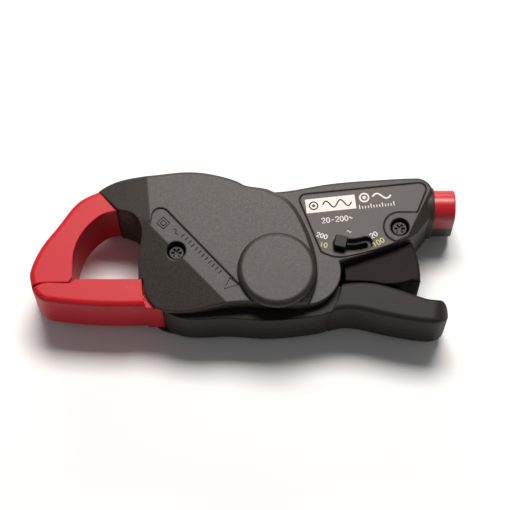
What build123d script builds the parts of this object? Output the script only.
"""Clamp meter: a current clamp that opens like a clothes peg.

Millimetres. The jaw pivot is the Z axis, and the meter lies on its back on z = 0.
+X runs from the jaws to the output sockets, +Y is the side away from the squeeze lever.
"""
from build123d import *
import math
import os

# Levels above the resting face
BACK_WALL = 2.2
PARTING_Z = 13.0
CHEEK_Z = 21.3
HANDLE_Z = 24.5
PLATEAU_Z = 27.5
CAP_Z = 30.0
JAW_LOW_Z = 3.0
JAW_HIGH_Z = 24.0
CORE_LOW_Z = 5.0
CORE_HIGH_Z = 19.0
CORE_GAP = 0.15
ARM_LOW_Z = 2.9
ARM_HIGH_Z = 20.9
LEVER_LOW_Z = 2.0
LEVER_HIGH_Z = 22.6
LEVER_SPLIT_Z = 12.0

# Radii about the pivot axis
CHEEK_EDGE_R = 43.4
JAW_HEEL_R = 43.8
NECK_R = 20.9
LEVER_START_R = 21.3
LEVER_WALL = 0.9
GUARD_R = 46.95
GUARD_INNER_R = 22.5
CAP_R = 12.8
HUB_R = 9.0
ARM_REACH_R = 20.4
PIN_R = 3.0
BUSH_R = 4.4
BUSH_CLEARANCE = 0.05

# The jaws and the core
JAW_TOP_Y = -1.6
POLE_Y = -2.9
POLE_GAP = 0.1
CORE_LIMB_X = (-28.5, -22.5)
LOWER_CORE_Y = -8.4
JAW_END_X = -37.0
OUTER_ROUNDING = 1.8
LEVER_ROUNDING = 1.6
LEVER_END_X = 55.7
LEVER_END_ROUNDING = 5.5

# Screws
SCREW_PLACES = [(-32.6, 7.2), (40.45, 16.5)]
SCREW_HEAD_TOPS = (24.9, 23.2)
SCREW_HEAD = 2.2
SCREW_TIP_Z = 5.0
SCREW_HEAD_R = 2.8
SCREW_R = 1.5
COUNTERBORE_R = 3.1
BOSS_R = 3.9
LEVER_SCREW_PLACES = [(-14.0, -8.4), (12.0, -8.4)]
LEVER_SCREW_Z = (3.4, 4.8, 17.0)

# Range selector: the knob travels on an arc about its own post
SELECTOR_POST = (24.2, 24.5)
SELECTOR_ARC_R = 14.5
SELECTOR_REST = 256.5
SELECTOR_TRAVEL = 33.0
SELECTOR_POST_R = 1.5
SLOT_HALF = 0.9
SLOT_RECESS_HALF = 2.15
SLOT_RECESS_DEPTH = 2.0
SLOT_END = 0.5

# Output sockets, one above the other on the end wall
SOCKET_Y = 26.7
SOCKET_Z = {"red": 17.6, "black": 6.4}
SOCKET_SPLIT_Z = 12.0
SOCKET_END_X = 59.4
SOCKET_INNER_X = 46.2
SHROUD_R = 5.5
SHROUD_BORE_R = 4.15
SOCKET_NECK_R = 4.4
SOCKET_COLLAR_X = 52.3
SOCKET_COLLAR_R = 6.3
CONTACT_R = 3.0
CONTACT_BORE_R = 2.0
CONTACT_X = (44.4, 57.6)

# Circuit board
BOARD_Z = (14.6, 16.2)
BOARD_POSTS = [(15.0, 13.5), (40.5, 27.1)]
BOARD_SCREW_R = 1.0
PANEL_DEPTH = 0.5
EDGE_ROUNDING = 1.0
STEP_SLOPE = 1.4
SCREW_RING_R = 5.2

# Torsion spring round the hub
SPRING_R = 7.0
SPRING_WIRE_R = 0.55
SPRING_Z = (15.6, 20.0)
SPRING_ROOM_R = 9.2
SPRING_PITCH = 1.3
SPRING_LEG_AT = 73.8


def flat(*edges):
    """A face inside a closed chain of edges."""
    return make_face(list(edges))


def slab(face, z_low, z_high):
    """The face raised between two levels."""
    return Pos(0, 0, z_low) * extrude(face, z_high - z_low, dir=(0, 0, 1))


def polygon(points):
    return make_face(Polyline(*points, close=True))


def disc(x, y, radius, z_low, z_high):
    return Pos(x, y, (z_low + z_high) / 2) * Cylinder(radius, z_high - z_low)


def block(low, high):
    """A box between two corners."""
    size = [b - a for a, b in zip(low, high)]
    middle = [(a + b) / 2 for a, b in zip(low, high)]
    return Pos(*middle) * Box(*size)


def rod_x(y, z, radius, x_low, x_high):
    return Pos((x_low + x_high) / 2, y, z) * Rot(0, 90, 0) * Cylinder(radius, x_high - x_low)


def on_arc(centre, radius, degrees):
    angle = math.radians(degrees)
    return (centre[0] + radius * math.cos(angle), centre[1] + radius * math.sin(angle))


def pivot_arc(radius, start, end):
    """An arc about the pivot axis, between two directions in degrees."""
    return ThreePointArc(
        on_arc((0, 0), radius, start),
        on_arc((0, 0), radius, (start + end) / 2),
        on_arc((0, 0), radius, end),
    )


def arc_band(centre, radius, half_width, start, end):
    """A round-ended band that follows an arc."""
    inner = radius - half_width
    outer = radius + half_width
    middle = (start + end) / 2
    cap = math.degrees(half_width / radius)
    return flat(
        ThreePointArc(*[on_arc(centre, inner, angle) for angle in (start, middle, end)]),
        ThreePointArc(on_arc(centre, inner, end), on_arc(centre, radius, end + cap),
                      on_arc(centre, outer, end)),
        ThreePointArc(*[on_arc(centre, outer, angle) for angle in (end, middle, start)]),
        ThreePointArc(on_arc(centre, outer, start), on_arc(centre, radius, start - cap),
                      on_arc(centre, inner, start)),
    )


def edges_at(shape, z, tolerance=0.01):
    """The edges that lie flat at one level."""
    return shape.edges().filter_by_position(Axis.Z, z - tolerance, z + tolerance)


def write(name, shape):
    export_step(shape, f"parts/{name}.step")


def tube(points, radius, bends):
    """A wire along straight runs joined by tangent arcs."""
    path = FilletPolyline(*points, radius=bends)
    section = Plane(origin=path @ 0, z_dir=path % 0) * Circle(radius)
    return sweep(section, path=path)


# ---------------------------------------------------------------- outlines

def housing_outline():
    """Both housing halves: jaw junction, hump over the coil, handle, neck and round cheek."""
    return flat(
        Line((-52.2, 22.4), (-58.9, 29.7)),
        Spline((-58.9, 29.7), (-51.5, 33.0), (-41.7, 34.0), (-25.5, 35.1), (-12.0, 31.4), (-4.2, 29.5),
               tangents=[(1, 0.75), (1, -0.1)]),
        Spline((-4.2, 29.5), (14.5, 31.8), (34.4, 33.8), (47.2, 34.4), tangents=[(1, -0.1), (1, 0)]),
        ThreePointArc((47.2, 34.4), (50.0, 33.1), (51.7, 30.6)),
        Line((51.7, 30.6), (51.7, 22.4)),
        Line((51.7, 22.4), (46.6, 15.4)),
        Spline((46.6, 15.4), (41.4, 11.8), (33.5, 8.6), on_arc((0, 0), NECK_R, 11.0),
               tangents=[(-1, -1.2), (-1, -0.38)]),
        ThreePointArc(on_arc((0, 0), NECK_R, 11.0), (19.5, -4.3), (11.3, -10.4)),
        Spline((11.3, -10.4), (-5.0, -10.6), (-17.0, -10.9), (-32.8, -12.5), (-38.8, -10.8),
               tangents=[(-1, -0.25), (-1, 0.7)]),
        ThreePointArc((-38.8, -10.8), (-42.0, -7.4), on_arc((0, 0), CHEEK_EDGE_R, 184.0)),
        ThreePointArc(on_arc((0, 0), CHEEK_EDGE_R, 184.0), on_arc((0, 0), CHEEK_EDGE_R, 182.8),
                      on_arc((0, 0), CHEEK_EDGE_R, 181.6)),
        Line(on_arc((0, 0), CHEEK_EDGE_R, 181.6), (-44.9, -1.2)),
        Spline((-44.9, -1.2), (-44.9, 7.0), (-44.1, 14.9), (-47.0, 20.4), (-52.2, 22.4),
               tangents=[(0, 1), (-1, 0.25)]),
    )


def inside_outline():
    """Room inside the housing walls. It stays open below, where the lever arm swings."""
    return flat(
        Polyline((-70, -1.2), (-42.7, -1.2), (-42.5, 8.0), (-41.2, 16.5), (-44.6, 21.6), (-44.6, 31.4)),
        Spline((-44.6, 31.4), (-25.5, 32.8), (-12.0, 29.1), (-4.2, 27.2),
               tangents=[(1, 0.1), (1, -0.1)]),
        Spline((-4.2, 27.2), (14.5, 29.5), (34.4, 31.5), (46.2, 32.0), tangents=[(1, -0.1), (1, 0)]),
        Polyline((46.2, 32.0), (49.4, 29.8), (49.4, 23.1), (45.0, 17.0)),
        Spline((45.0, 17.0), (40.6, 14.0), (33.0, 11.0), (20.3, 6.3), tangents=[(-1, -1), (-1, -0.38)]),
        Polyline((20.3, 6.3), (20.45, 3.8), (26.0, -2.0), (26.0, -40.0), (-70, -40.0), (-70, -1.2)),
    )


def shoulder_outline():
    """The side of the raised face that slopes down to the jaws and the cheek edge."""
    return polygon([(-90, -40), (-12, -40), (-12, 20), (-20, 20), (-20, 60), (-90, 60)])


def plateau_outline():
    """The flat rest of the raised face, with its curved step round the pivot."""
    return flat(
        Spline((7.5, -14.2), (13.0, 1.0), (9.2, 16.8), (3.9, 25.4), (-3.5, 29.6), (-14.0, 34.8)),
        Polyline((-14.0, 34.8), (-20.0, 45.0), (-20.0, 20.0), (-12.0, 20.0), (-12.0, -14.2), (7.5, -14.2)),
    )


def core_outline(grow=0.0):
    """The stacked laminations from the jaw tip, over the window, down to the pole beside the coil."""
    heel_low, heel_high = CORE_LIMB_X
    face = flat(
        Line((-70.2, POLE_Y), (-77.0, POLE_Y)),
        ThreePointArc((-77.0, POLE_Y), (-75.9, 6.0), (-71.2, 14.8)),
        ThreePointArc((-71.2, 14.8), (-62.4, 25.3), (-48.0, 30.4)),
        Line((-48.0, 30.4), (heel_high, 30.4)),
        Line((heel_high, 30.4), (heel_high, POLE_Y)),
        Line((heel_high, POLE_Y), (heel_low, POLE_Y)),
        Line((heel_low, POLE_Y), (heel_low, 24.6)),
        Line((heel_low, 24.6), (-50.0, 24.6)),
        ThreePointArc((-50.0, 24.6), (-60.3, 22.2), (-66.4, 15.4)),
        ThreePointArc((-66.4, 15.4), (-69.4, 7.5), (-70.2, POLE_Y)),
    )
    if grow:
        face = offset(face, grow)
    return face


def lower_core_outline(grow=0.0):
    heel_high = CORE_LIMB_X[1]
    top = POLE_Y - POLE_GAP
    face = polygon([
        (heel_high, top), (-77.0, top), (-77.0, -4.9), (-73.4, -7.2), (-69.0, LOWER_CORE_Y),
        (heel_high, LOWER_CORE_Y),
    ])
    if grow:
        face = offset(face, grow)
    return face


def upper_jaw_outline():
    return flat(
        Line((-52.35, 22.45), (-59.05, 29.75)),
        Spline((-59.05, 29.75), (-65.0, 26.5), (-71.2, 18.3), (-77.3, 9.3), (-80.2, 1.5), (-79.3, -4.6),
               tangents=[(-1, -0.45), (0.25, -1)]),
        Spline((-79.3, -4.6), (-76.4, -2.95), (-67.6, -2.75), tangents=[(0.3, 1), (1, 0.02)]),
        Line((-67.6, -2.75), (-66.3, -1.0)),
        Spline((-66.3, -1.0), (-66.35, 7.0), (-62.8, 16.0), (-58.0, 20.75), (-52.35, 22.45),
               tangents=[(0, 1), (1, 0.15)]),
    )


def lower_jaw_outline():
    """The red lower jaw outside the cheeks. Its inner end is round about the pivot."""
    top = on_arc((0, 0), JAW_HEEL_R, 182.1)
    middle = on_arc((0, 0), JAW_HEEL_R, 188.0)
    low = on_arc((0, 0), JAW_HEEL_R, 194.0)
    return flat(
        Line(top, (-65.4, JAW_TOP_Y)),
        Line((-65.4, JAW_TOP_Y), (-67.4, -3.0)),
        Spline((-67.4, -3.0), (-76.3, -3.25), (-79.2, -4.9), tangents=[(-1, -0.02), (-1, -0.9)]),
        ThreePointArc((-79.2, -4.9), (-77.2, -7.5), (-73.0, -9.2)),
        ThreePointArc((-73.0, -9.2), (-58.0, -10.6), low),
        ThreePointArc(low, middle, top),
    )


def lower_tongue_outline():
    """The lower jaw's tongue between the cheeks, up to the lever shells."""
    low = on_arc((0, 0), JAW_HEEL_R + 0.1, 194.0)
    top = on_arc((0, 0), JAW_HEEL_R + 0.1, 182.1)
    return flat(
        Line((JAW_END_X, JAW_TOP_Y), top),
        Line(top, low),
        Line(low, (JAW_END_X, -10.7)),
        Line((JAW_END_X, -10.7), (JAW_END_X, JAW_TOP_Y)),
    )


def arm_outline():
    """The lever arm between the cheeks: jaw end, belly, hub and the reach to the lever."""
    hub_drop = math.degrees(math.asin(-JAW_TOP_Y / HUB_R))
    hub_left = on_arc((0, 0), HUB_R, 180 + hub_drop)
    hub_right = on_arc((0, 0), HUB_R, -hub_drop)
    reach_top = on_arc((0, 0), ARM_REACH_R, -6.5)
    reach_low = on_arc((0, 0), ARM_REACH_R, -37.0)
    return flat(
        Line((JAW_END_X + 0.2, JAW_TOP_Y), hub_left),
        ThreePointArc(hub_left, (0, HUB_R), hub_right),
        Line(hub_right, reach_top),
        ThreePointArc(reach_top, on_arc((0, 0), ARM_REACH_R, -20.0), reach_low),
        Spline(reach_low, (11.4, -13.4), (-6.0, -14.7), (-16.0, -14.0), (-31.2, -13.8),
               (JAW_END_X + 0.2, -10.9), tangents=[(-0.9, -0.35), (-0.6, 0.5)]),
        Line((JAW_END_X + 0.2, -10.9), (JAW_END_X + 0.2, JAW_TOP_Y)),
    )


def lever_outline():
    """The squeezed end of the lever, outside the neck."""
    start_top = on_arc((0, 0), LEVER_START_R, -6.3)
    start_low = on_arc((0, 0), LEVER_START_R, -35.0)
    return flat(
        ThreePointArc(start_low, on_arc((0, 0), LEVER_START_R, -20.0), start_top),
        Spline(start_top, (24.2, -1.9), (30.3, -1.9), (37.4, -3.5), (44.6, -6.0), (50.6, -7.7),
               (55.6, -12.0), tangents=[(1, 0.3), (0, -1)]),
        Spline((55.6, -12.0), (54.3, -14.6), (49.6, -15.9), tangents=[(0, -1), (-1, 0.05)]),
        Spline((49.6, -15.9), (41.9, -14.9), (32.2, -12.8), (22.6, -11.2), start_low,
               tangents=[(-1, 0.05), (-1, -0.3)]),
    )


def lever_cavity():
    """Room in the lever for the guard skirt, open on the side of the handle."""
    return flat(
        pivot_arc(LEVER_START_R + LEVER_WALL, -25.0, 8.0),
        Line(on_arc((0, 0), LEVER_START_R + LEVER_WALL, 8.0), (60.0, 8.0)),
        Line((60.0, 8.0), (60.0, -5.0)),
        Line((60.0, -5.0), (49.6, -6.0)),
        ThreePointArc((49.6, -6.0), (51.6, -11.4), (48.6, -14.3)),
        Spline((48.6, -14.3), (41.9, -13.5), (32.2, -11.4),
               on_arc((0, 0), LEVER_START_R + LEVER_WALL, -25.0), tangents=[(-1, 0.02), (-1, 0.15)]),
    )


def guard_outline():
    corner = math.degrees(math.asin(-0.9 / GUARD_R))
    return flat(
        pivot_arc(GUARD_INNER_R, -1.8, 12.0),
        Line(on_arc((0, 0), GUARD_INNER_R, 12.0), (44.6, 12.9)),
        ThreePointArc((44.6, 12.9), on_arc((0, 0), GUARD_R, 8.0), on_arc((0, 0), GUARD_R, corner)),
        Line(on_arc((0, 0), GUARD_R, corner), (43.0, -0.8)),
        ThreePointArc((43.0, -0.8), (37.5, -1.8), (31.0, -1.0)),
        Line((31.0, -1.0), on_arc((0, 0), GUARD_INNER_R, -1.8)),
    )


def label_outline(inset=0.0):
    face = flat(
        Line((9.9, 28.4), (47.4, 32.5)),
        RadiusArc((47.4, 32.5), (49.7, 29.7), 2.4),
        Line((49.7, 29.7), (44.6, 17.0)),
        ThreePointArc((44.6, 17.0), (42.8, 13.3), (38.6, 10.7)),
        ThreePointArc((38.6, 10.7), (31.4, 8.1), (23.8, 6.2)),
        ThreePointArc((23.8, 6.2), (18.4, 6.0), (14.4, 7.7)),
        Line((14.4, 7.7), (7.8, 25.1)),
        RadiusArc((7.8, 25.1), (9.9, 28.4), 2.3),
    )
    if inset:
        face = offset(face, -inset)
    x, y = SCREW_PLACES[1]
    boss = Pos(x, y) * Circle(SCREW_RING_R + inset)
    rim = Pos(x + 10, y + SCREW_RING_R + inset - 10) * Rectangle(20, 20)
    return face - boss - rim


def band_outline():
    """The recessed band along the plateau's long edge."""
    return flat(
        Line((-36.0, 21.4), (-5.0, -12.5)),
        Line((-5.0, -12.5), (-20.0, -16.0)),
        Line((-20.0, -16.0), (-41.5, 15.0)),
        Line((-41.5, 15.0), (-40.9, 19.0)),
        RadiusArc((-40.9, 19.0), (-36.0, 21.4), 3.0),
    )


def slot_band(half_width, margin=0.0):
    return arc_band(SELECTOR_POST, SELECTOR_ARC_R, half_width,
                    SELECTOR_REST - margin, SELECTOR_REST + SELECTOR_TRAVEL + margin)


# ---------------------------------------------------------------- housings

def front_housing():
    outline = housing_outline()
    handle = slab(outline, PARTING_Z, HANDLE_Z)
    rim = [edge for edge in edges_at(handle, HANDLE_Z) if edge.center().X > -5 and edge.center().Y > 5]
    handle = fillet(rim, EDGE_ROUNDING)
    hump = slab(plateau_outline(), PARTING_Z, PLATEAU_Z)
    step = [edge for edge in edges_at(hump, PLATEAU_Z) if edge.center().X > 0 and edge.center().Y > -10]
    hump = chamfer(step, STEP_SLOPE) & slab(outline, PARTING_Z, PLATEAU_Z)
    hump = fillet([edge for edge in edges_at(hump, PLATEAU_Z) if edge.center().Y < -10], EDGE_ROUNDING)
    left = slab(shoulder_outline(), PARTING_Z, PLATEAU_Z)
    shoulder = slab(outline, PARTING_Z, PLATEAU_Z) & left
    jaw_slope = Plane(origin=(-41.4, 20, PLATEAU_Z), x_dir=(-0.1, 1, 0), z_dir=(-0.211, -0.021, 0.977))
    cheek_slope = Plane(origin=(-27.4, 3.3, PLATEAU_Z), x_dir=(0.686, -0.727, 0),
                        z_dir=(-0.205, -0.193, 0.96))
    shoulder -= jaw_slope * Pos(0, 0, 20) * Box(160, 160, 40)
    shoulder -= cheek_slope * Pos(0, 0, 20) * Box(160, 160, 40)
    body = (handle - left) + hump + shoulder
    raised = [edge for edge in body.edges() if edge.center().Z > HANDLE_Z and edge.center().X < -9]
    body = fillet([edge for edge in raised if (edge @ 0.5).Y > 30], EDGE_ROUNDING)
    end_slope = Plane(origin=(47.3, 22.2, HANDLE_Z), x_dir=(0.439, 0.899, 0),
                      z_dir=(0.578, -0.282, 0.766))
    body -= end_slope * Pos(0, 0, 10) * Box(60, 20, 20)
    inside = inside_outline()
    body -= slab(inside, PARTING_Z, CHEEK_Z)
    body -= slab(inside, PARTING_Z, HANDLE_Z - BACK_WALL) & block((13, 8, PARTING_Z), (50, 40, HANDLE_Z))
    body -= block((-33.0, 10.6, PARTING_Z), (-18.0, 31.0, PLATEAU_Z - BACK_WALL))
    body -= slab(core_outline(CORE_GAP), PARTING_Z, CORE_HIGH_Z + CORE_GAP)
    for (x, y), head_top in zip(SCREW_PLACES, SCREW_HEAD_TOPS):
        body += disc(x, y, BOSS_R, PARTING_Z, HANDLE_Z - 1)
        body -= disc(x, y, SCREW_R + 0.2, PARTING_Z, HANDLE_Z)
        body -= disc(x, y, COUNTERBORE_R, head_top - SCREW_HEAD, CAP_Z)
    body += disc(*SELECTOR_POST, SELECTOR_POST_R, 18.0, HANDLE_Z - 1)
    body -= slab(label_outline(), HANDLE_Z - PANEL_DEPTH, CAP_Z)
    body -= slab(slot_band(SLOT_RECESS_HALF, SLOT_END), HANDLE_Z - SLOT_RECESS_DEPTH, HANDLE_Z)
    body -= slab(slot_band(SLOT_HALF), PARTING_Z, HANDLE_Z)
    body -= slab(band_outline(), PLATEAU_Z - 0.4, CAP_Z)
    body -= disc(0, 0, PIN_R, PARTING_Z, PLATEAU_Z - 0.6)
    body += socket_collar(PARTING_Z, HANDLE_Z)
    body -= rod_x(SOCKET_Y, SOCKET_Z["red"], SOCKET_NECK_R + 0.05, 45.0, 54.0)
    body += block((7.7, 9.5, 17.0), (9.2, 14.0, CHEEK_Z))
    return body


def socket_collar(z_low, z_high):
    """The low collar round both sockets, between two levels."""
    collar = block((49.6, SOCKET_Y - SOCKET_COLLAR_R, SOCKET_Z["black"]),
                   (SOCKET_COLLAR_X, SOCKET_Y + SOCKET_COLLAR_R, SOCKET_Z["red"]))
    for z in SOCKET_Z.values():
        collar += rod_x(SOCKET_Y, z, SOCKET_COLLAR_R, 49.6, SOCKET_COLLAR_X)
    return collar & block((49.6, 10, z_low), (60, 40, z_high))


def rear_housing():
    body = slab(housing_outline(), 0, PARTING_Z)
    body = fillet(edges_at(body, 0), 1.2)
    body -= slab(inside_outline(), BACK_WALL, PARTING_Z)
    body -= slab(core_outline(CORE_GAP), CORE_LOW_Z - CORE_GAP, PARTING_Z)
    for x, y in SCREW_PLACES:
        body += disc(x, y, BOSS_R - 0.4, BACK_WALL, PARTING_Z)
        body -= disc(x, y, SCREW_R - 0.1, SCREW_TIP_Z - 0.5, PARTING_Z)
    body -= disc(0, 0, PIN_R, 1.0, PARTING_Z)
    body -= disc(0, 0, 8.0, 0, 1.0)
    for x, y in BOARD_POSTS:
        body += disc(x, y, 2.0, BACK_WALL, BOARD_Z[0])
        body -= disc(x, y, BOARD_SCREW_R - 0.1, 6.0, BOARD_Z[0])
    body += socket_collar(0, PARTING_Z)
    body -= rod_x(SOCKET_Y, SOCKET_Z["black"], SOCKET_NECK_R + 0.05, 45.0, 54.0)
    return body


def housing_screw(x, y, head_top):
    """A pan-head case screw with a six-lobed recess."""
    head = disc(x, y, SCREW_HEAD_R, head_top - SCREW_HEAD, head_top)
    head = fillet(head.edges().sort_by(Axis.Z)[-1], 0.7)
    screw = head + disc(x, y, SCREW_R, SCREW_TIP_Z, head_top - SCREW_HEAD)
    for turn in (0, 60, 120):
        screw -= Pos(x, y, head_top) * Rot(0, 0, turn) * Box(3.4, 0.75, 2.0)
    return screw


# ---------------------------------------------------------------- jaws and core

def upper_jaw_cover():
    body = slab(upper_jaw_outline(), JAW_LOW_Z, JAW_HIGH_Z)
    outer = edges_at(body, JAW_LOW_Z) + edges_at(body, JAW_HIGH_Z)
    long_edges = [edge for edge in outer if edge.center().X < -66.9 and edge.length > 20]
    body = fillet(long_edges, OUTER_ROUNDING)
    return body - slab(core_outline(CORE_GAP), CORE_LOW_Z - CORE_GAP, CORE_HIGH_Z + CORE_GAP)


def lower_jaw_cover():
    body = slab(lower_jaw_outline(), JAW_LOW_Z, JAW_HIGH_Z)
    outer = edges_at(body, JAW_LOW_Z) + edges_at(body, JAW_HIGH_Z)
    body = fillet([edge for edge in outer if edge.length > 25 and edge.center().Y < -5], OUTER_ROUNDING)
    body += slab(lower_tongue_outline(), ARM_LOW_Z + 0.1, ARM_HIGH_Z)
    body -= slab(lower_core_outline(CORE_GAP), CORE_LOW_Z - CORE_GAP, CORE_HIGH_Z + CORE_GAP)
    pole = block((-77.15, -5, CORE_LOW_Z - CORE_GAP), (-68.6, 0, CORE_HIGH_Z + CORE_GAP))
    return body - pole


def coil_bobbin():
    """A square bobbin on the core limb, with a flange at each end."""
    heel_low, heel_high = CORE_LIMB_X
    body = block((heel_low - 0.9, 11.2, CORE_LOW_Z - 0.9), (heel_high + 0.9, 24.2, CORE_HIGH_Z + 0.9))
    for y in (11.2, 23.0):
        body += block((heel_low - 3.4, y, 2.5), (heel_high + 3.4, y + 1.2, 21.6))
    bore = block((heel_low - 0.1, 11, CORE_LOW_Z - 0.1), (heel_high + 0.1, 25, CORE_HIGH_Z + 0.1))
    return body - bore


def coil_winding():
    outer = Pos(-25.5, 0, 12) * Rot(-90, 0, 0) * RectangleRounded(11.2, 18.6, 2.4)
    inner = Pos(-25.5, 0, 12) * Rot(-90, 0, 0) * RectangleRounded(8.0, 16.0, 0.1)
    return Pos(0, 12.5, 0) * extrude(outer - inner, 10.4, dir=(0, 1, 0))


def washers():
    low = disc(0, 0, 6.4, BACK_WALL + 0.05, ARM_LOW_Z - 0.05) - disc(0, 0, PIN_R + 0.1, 0, 5)
    high = disc(0, 0, 6.4, ARM_HIGH_Z + 0.05, CHEEK_Z - 0.05) - disc(0, 0, PIN_R + 0.1, 20, 25)
    return Compound(children=[low, high])


# ---------------------------------------------------------------- jaw lever

def lever_body():
    body = slab(arm_outline(), ARM_LOW_Z, ARM_HIGH_Z)
    grip = slab(lever_outline(), LEVER_LOW_Z, LEVER_HIGH_Z)
    outer = edges_at(grip, LEVER_LOW_Z) + edges_at(grip, LEVER_HIGH_Z)
    grip = fillet([edge for edge in outer if edge.center().X > 26], LEVER_ROUNDING)
    side = block((-20, -40, LEVER_LOW_Z), (LEVER_END_X, 20, LEVER_HIGH_Z))
    grip &= fillet(side.edges().filter_by(Axis.Y).group_by(Axis.X)[-1], LEVER_END_ROUNDING)
    body += grip
    bridge = slab(flat(
        pivot_arc(ARM_REACH_R - 0.3, -36.0, -8.0),
        Line(on_arc((0, 0), ARM_REACH_R - 0.3, -8.0), on_arc((0, 0), LEVER_START_R + 0.4, -8.0)),
        pivot_arc(LEVER_START_R + 0.4, -8.0, -34.0),
        Line(on_arc((0, 0), LEVER_START_R + 0.4, -34.0), on_arc((0, 0), ARM_REACH_R - 0.3, -36.0)),
    ), ARM_LOW_Z, ARM_HIGH_Z)
    body += bridge
    body -= slab(lever_cavity(), LEVER_LOW_Z + 1.6, LEVER_HIGH_Z - 1.6)
    body -= slab(lower_core_outline(CORE_GAP), CORE_LOW_Z - CORE_GAP, CORE_HIGH_Z + CORE_GAP)
    heel_low, heel_high = CORE_LIMB_X
    body -= block((heel_low - 1.6, -4, CORE_LOW_Z - 0.4), (heel_high + 1.6, 0, CORE_HIGH_Z + 0.4))
    body -= disc(0, 0, BUSH_R, 0, 25)
    for x, y in LEVER_SCREW_PLACES:
        body -= disc(x, y, 2.1, 0, LEVER_SCREW_Z[1])
        body -= disc(x, y, 0.95, LEVER_SCREW_Z[1], LEVER_SCREW_Z[2])
    body -= disc(0, 0, SPRING_ROOM_R, SPRING_Z[0] - 0.8, 25) - disc(0, 0, 5.5, 0, 25)
    return body


def lever_half(body, low, high):
    return body & block((-60, -40, low), (70, 20, high))


def lever_screw(x, y):
    low, seat, tip = LEVER_SCREW_Z
    return disc(x, y, 2.0, low, seat) + disc(x, y, 1.0, seat, tip)


# ---------------------------------------------------------------- selector

def range_knob():
    """A wedge-shaped knob on a stem through the slot."""
    x, y = on_arc(SELECTOR_POST, SELECTOR_ARC_R, SELECTOR_REST)
    place = Pos(x, y, HANDLE_Z + 0.15) * Rot(0, 0, SELECTOR_REST + 90)
    knob = place * extrude(RectangleRounded(4.2, 4.2, 0.6), 2.7)
    knob = fillet(edges_at(knob, HANDLE_Z + 2.85), 0.4)
    knob += disc(x, y, SLOT_HALF - 0.15, 21.05, HANDLE_Z + 0.3)
    return knob


def selector_arm():
    """The arm under the panel, from the post to the knob's stem."""
    post_x, post_y = SELECTOR_POST
    knob_x, knob_y = on_arc(SELECTOR_POST, SELECTOR_ARC_R, SELECTOR_REST)
    middle = Pos((post_x + knob_x) / 2, (post_y + knob_y) / 2, 20.2)
    body = middle * Rot(0, 0, SELECTOR_REST) * Box(SELECTOR_ARC_R, 2.0, 1.6)
    body += disc(post_x, post_y, 3.2, 19.4, 21.0)
    body += disc(knob_x, knob_y, 1.0, 19.4, 21.0)
    return body - disc(post_x, post_y, SELECTOR_POST_R + 0.05, 18, 22)


def selector_wiper():
    """A sprung strip under the arm that bridges the board's tracks."""
    x, y = on_arc(SELECTOR_POST, 11.0, SELECTOR_REST)
    strip = Pos(x, y, 19.1) * Rot(0, 0, SELECTOR_REST) * Box(6.0, 2.0, 0.3)
    foot_x, foot_y = on_arc(SELECTOR_POST, 13.5, SELECTOR_REST)
    foot = Pos(foot_x, foot_y, 17.9) * Rot(0, 0, SELECTOR_REST) * Box(0.8, 2.0, 2.4)
    return strip + foot


# ---------------------------------------------------------------- electronics and sockets

def circuit_board():
    face = polygon([(12.6, 11.0), (21.0, 9.0), (34.8, 12.6), (34.8, 21.4), (43.6, 21.4), (43.6, 29.4),
                    (30.0, 29.0), (11.0, 26.6)])
    board = slab(face, *BOARD_Z)
    for x, y in BOARD_POSTS:
        board -= disc(x, y, BOARD_SCREW_R + 0.15, 10, 20)
    return board


def board_screw(x, y):
    head = disc(x, y, 1.9, BOARD_Z[1] + 0.02, BOARD_Z[1] + 1.3)
    return head + disc(x, y, BOARD_SCREW_R, 7.0, BOARD_Z[1] + 0.1)


def board_parts():
    """Trimmers, burden resistors, capacitors and the stop for the selector."""
    top = BOARD_Z[1] + 0.02
    low = BOARD_Z[0] - 0.02
    parts = []
    for y in (16.6, 21.2):
        trimmer = block((12.9, y, top), (17.1, y + 3.8, top + 2.6))
        trimmer += disc(15.0, y + 1.9, 1.3, top + 2.6, top + 3.2)
        parts.append(trimmer - block((13.9, y + 1.7, top + 2.8), (16.1, y + 2.1, top + 4)))
    for y in (22.6, 25.0):
        parts.append(rod_x(y, top + 1.0, 0.95, 31.0, 36.4))
    parts.append(disc(39.6, 22.9, 1.4, top, top + 4.2))
    for x in (18.5, 22.5, 26.5):
        parts.append(block((x, 17.0, low - 1.1), (x + 2.4, 18.6, low)))
    parts.append(block((16.0, 21.0, low - 1.8), (21.5, 25.0, low)))
    return Compound(children=parts)


def selector_tracks():
    """Three gold pads on the board under the wiper."""
    low = BOARD_Z[1]
    ends = [(250.0, 260.5), (265.0, 281.0), (285.5, 296.0)]
    pads = [slab(arc_band(SELECTOR_POST, 13.5, 0.7, *pair), low, low + 0.1) for pair in ends]
    return Compound(children=pads)


def label_plate():
    plate = slab(label_outline(0.15), HANDLE_Z - PANEL_DEPTH + 0.02, HANDLE_Z - 0.06)
    return plate - slab(slot_band(SLOT_RECESS_HALF + 0.05, SLOT_END), 20, 30)


def guard_skirt():
    """A hollow skirt below the handle that slides into the lever as the jaws open."""
    handle = Pos(0, -0.06, 0) * slab(housing_outline(), 0, CAP_Z)
    solid = slab(guard_outline(), LEVER_LOW_Z + 2.1, LEVER_HIGH_Z - 2.1) - handle
    rim = edges_at(solid, LEVER_HIGH_Z - 2.1) + edges_at(solid, LEVER_LOW_Z + 2.1)
    solid = fillet([edge for edge in rim if edge.center().X > 44], EDGE_ROUNDING)
    room = polygon([(26, 0.8), (43, 0.8), (43, 16), (26, 12)])
    return solid - slab(room, LEVER_LOW_Z + 3.5, LEVER_HIGH_Z - 3.5)


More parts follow.
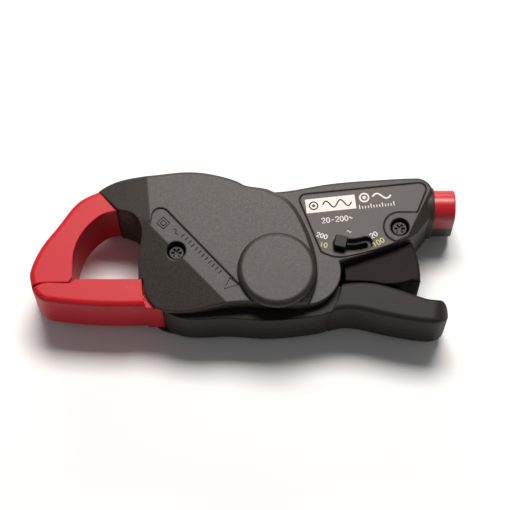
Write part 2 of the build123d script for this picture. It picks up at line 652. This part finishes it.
def output_socket(z):
    """A shrouded socket. Its sleeve is squared off where it meets the sleeve of the other socket."""
    start = SOCKET_COLLAR_X + 0.03
    split = SOCKET_SPLIT_Z + math.copysign(0.03, z - SOCKET_SPLIT_Z)
    body = rod_x(SOCKET_Y, z, SHROUD_R, start, SOCKET_END_X)
    low, high = sorted((z, split))
    body += block((start, SOCKET_Y - SHROUD_R, low), (SOCKET_END_X, SOCKET_Y + SHROUD_R, high))
    body = fillet(body.edges().group_by(Axis.X)[-1], 0.5)
    body += rod_x(SOCKET_Y, z, SOCKET_NECK_R, SOCKET_INNER_X, SOCKET_COLLAR_X + 0.1)
    body -= rod_x(SOCKET_Y, z, SHROUD_BORE_R, SOCKET_COLLAR_X + 1.2, SOCKET_END_X + 1)
    return body - rod_x(SOCKET_Y, z, CONTACT_R + 0.02, 45.0, 56.0)


def socket_contact(z):
    body = rod_x(SOCKET_Y, z, CONTACT_R, *CONTACT_X)
    return body - rod_x(SOCKET_Y, z, CONTACT_BORE_R, CONTACT_X[0] + 1.4, 60)


def socket_leads():
    red_z = SOCKET_Z["red"]
    black_z = SOCKET_Z["black"]
    red = tube([
        (44.3, 24.2, red_z), (42.4, 23.8, red_z), (41.8, 23.7, BOARD_Z[1] + 0.1),
    ], 0.45, 0.6)
    black = tube([
        (44.3, 24.2, black_z), (40.8, 22.4, black_z + 0.4), (37.8, 22.2, BOARD_Z[0] - 0.1),
    ], 0.45, 1.2)
    return Compound(children=[red, black])


def coil_leads():
    wires = []
    for drop in (0.0, 1.6):
        wires.append(tube([
            (-19.4, 20.0 - drop, 9.0), (-12.0, 24.0 - drop, 9.4), (0.5, 25.6 - drop, 11.0),
            (9.0, 24.6 - drop, 13.0), (14.0, 22.8 - drop, 13.6),
        ], 0.45, 4.0))
    return Compound(children=wires)


def pivot_cap():
    cap = disc(0, 0, CAP_R, PLATEAU_Z + 0.02, CAP_Z)
    return fillet(cap.edges().sort_by(Axis.Z)[-1], 1.9)


def pivot_pin():
    return disc(0, 0, PIN_R, 1.02, PLATEAU_Z - 0.62)


def pivot_bush():
    ring = disc(0, 0, BUSH_R, ARM_LOW_Z, ARM_HIGH_Z)
    return ring - disc(0, 0, PIN_R + BUSH_CLEARANCE, 0, 30)


def torsion_spring():
    """The closing spring, drawn at its fully wound angle so that its moving leg clears the arm."""
    turns = 2 + (360 - SPRING_LEG_AT) / 360
    coil_path = Rot(0, 0, SPRING_LEG_AT) * Helix(SPRING_PITCH, SPRING_PITCH * turns, SPRING_R)
    coil_path = Pos(0, 0, SPRING_Z[0]) * coil_path
    section = Circle(SPRING_WIRE_R)
    coil = sweep(Plane(origin=coil_path @ 0, z_dir=coil_path % 0) * section, path=coil_path)
    start = Plane(origin=coil_path @ 0, z_dir=-(coil_path % 0))
    end = Plane(origin=coil_path @ 1, z_dir=coil_path % 1)
    coil += extrude(start * section, 12.5)
    return coil + extrude(end * section, 13.0)


# ---------------------------------------------------------------- writing

def main():
    os.makedirs("parts", exist_ok=True)
    write("front_housing", front_housing())
    write("rear_housing", rear_housing())
    write("upper_jaw_cover", upper_jaw_cover())
    write("upper_core", slab(core_outline(), CORE_LOW_Z, CORE_HIGH_Z))
    write("coil_bobbin", coil_bobbin())
    write("coil_winding", coil_winding())
    write("coil_leads", coil_leads())
    write("circuit_board", circuit_board())
    write("board_components", board_parts())
    write("board_screws", Compound(children=[board_screw(x, y) for x, y in BOARD_POSTS]))
    write("selector_tracks", selector_tracks())
    write("label_plate", label_plate())
    write("guard_skirt", guard_skirt())
    write("output_socket_red", output_socket(SOCKET_Z["red"]))
    write("output_socket_black", output_socket(SOCKET_Z["black"]))
    write("socket_contacts", Compound(children=[socket_contact(z) for z in SOCKET_Z.values()]))
    write("socket_leads", socket_leads())
    write("pivot_cap", pivot_cap())
    write("rear_pivot_cap", disc(0, 0, 7.95, 0, 0.98))
    write("pivot_pin", pivot_pin())
    write("pivot_washers", washers())
    write("housing_screws", Compound(children=[
        housing_screw(x, y, head_top) for (x, y), head_top in zip(SCREW_PLACES, SCREW_HEAD_TOPS)
    ]))
    write("torsion_spring", torsion_spring())

    write("lower_jaw_cover", lower_jaw_cover())
    write("lower_core", slab(lower_core_outline(), CORE_LOW_Z, CORE_HIGH_Z))
    lever = lever_body()
    write("lever_front_shell", lever_half(lever, LEVER_SPLIT_Z, 30))
    write("lever_rear_shell", lever_half(lever, 0, LEVER_SPLIT_Z))
    write("lever_screws", Compound(children=[lever_screw(x, y) for x, y in LEVER_SCREW_PLACES]))
    write("pivot_bush", pivot_bush())

    write("range_knob", range_knob())
    write("selector_arm", selector_arm())
    write("selector_wiper", selector_wiper())


main()
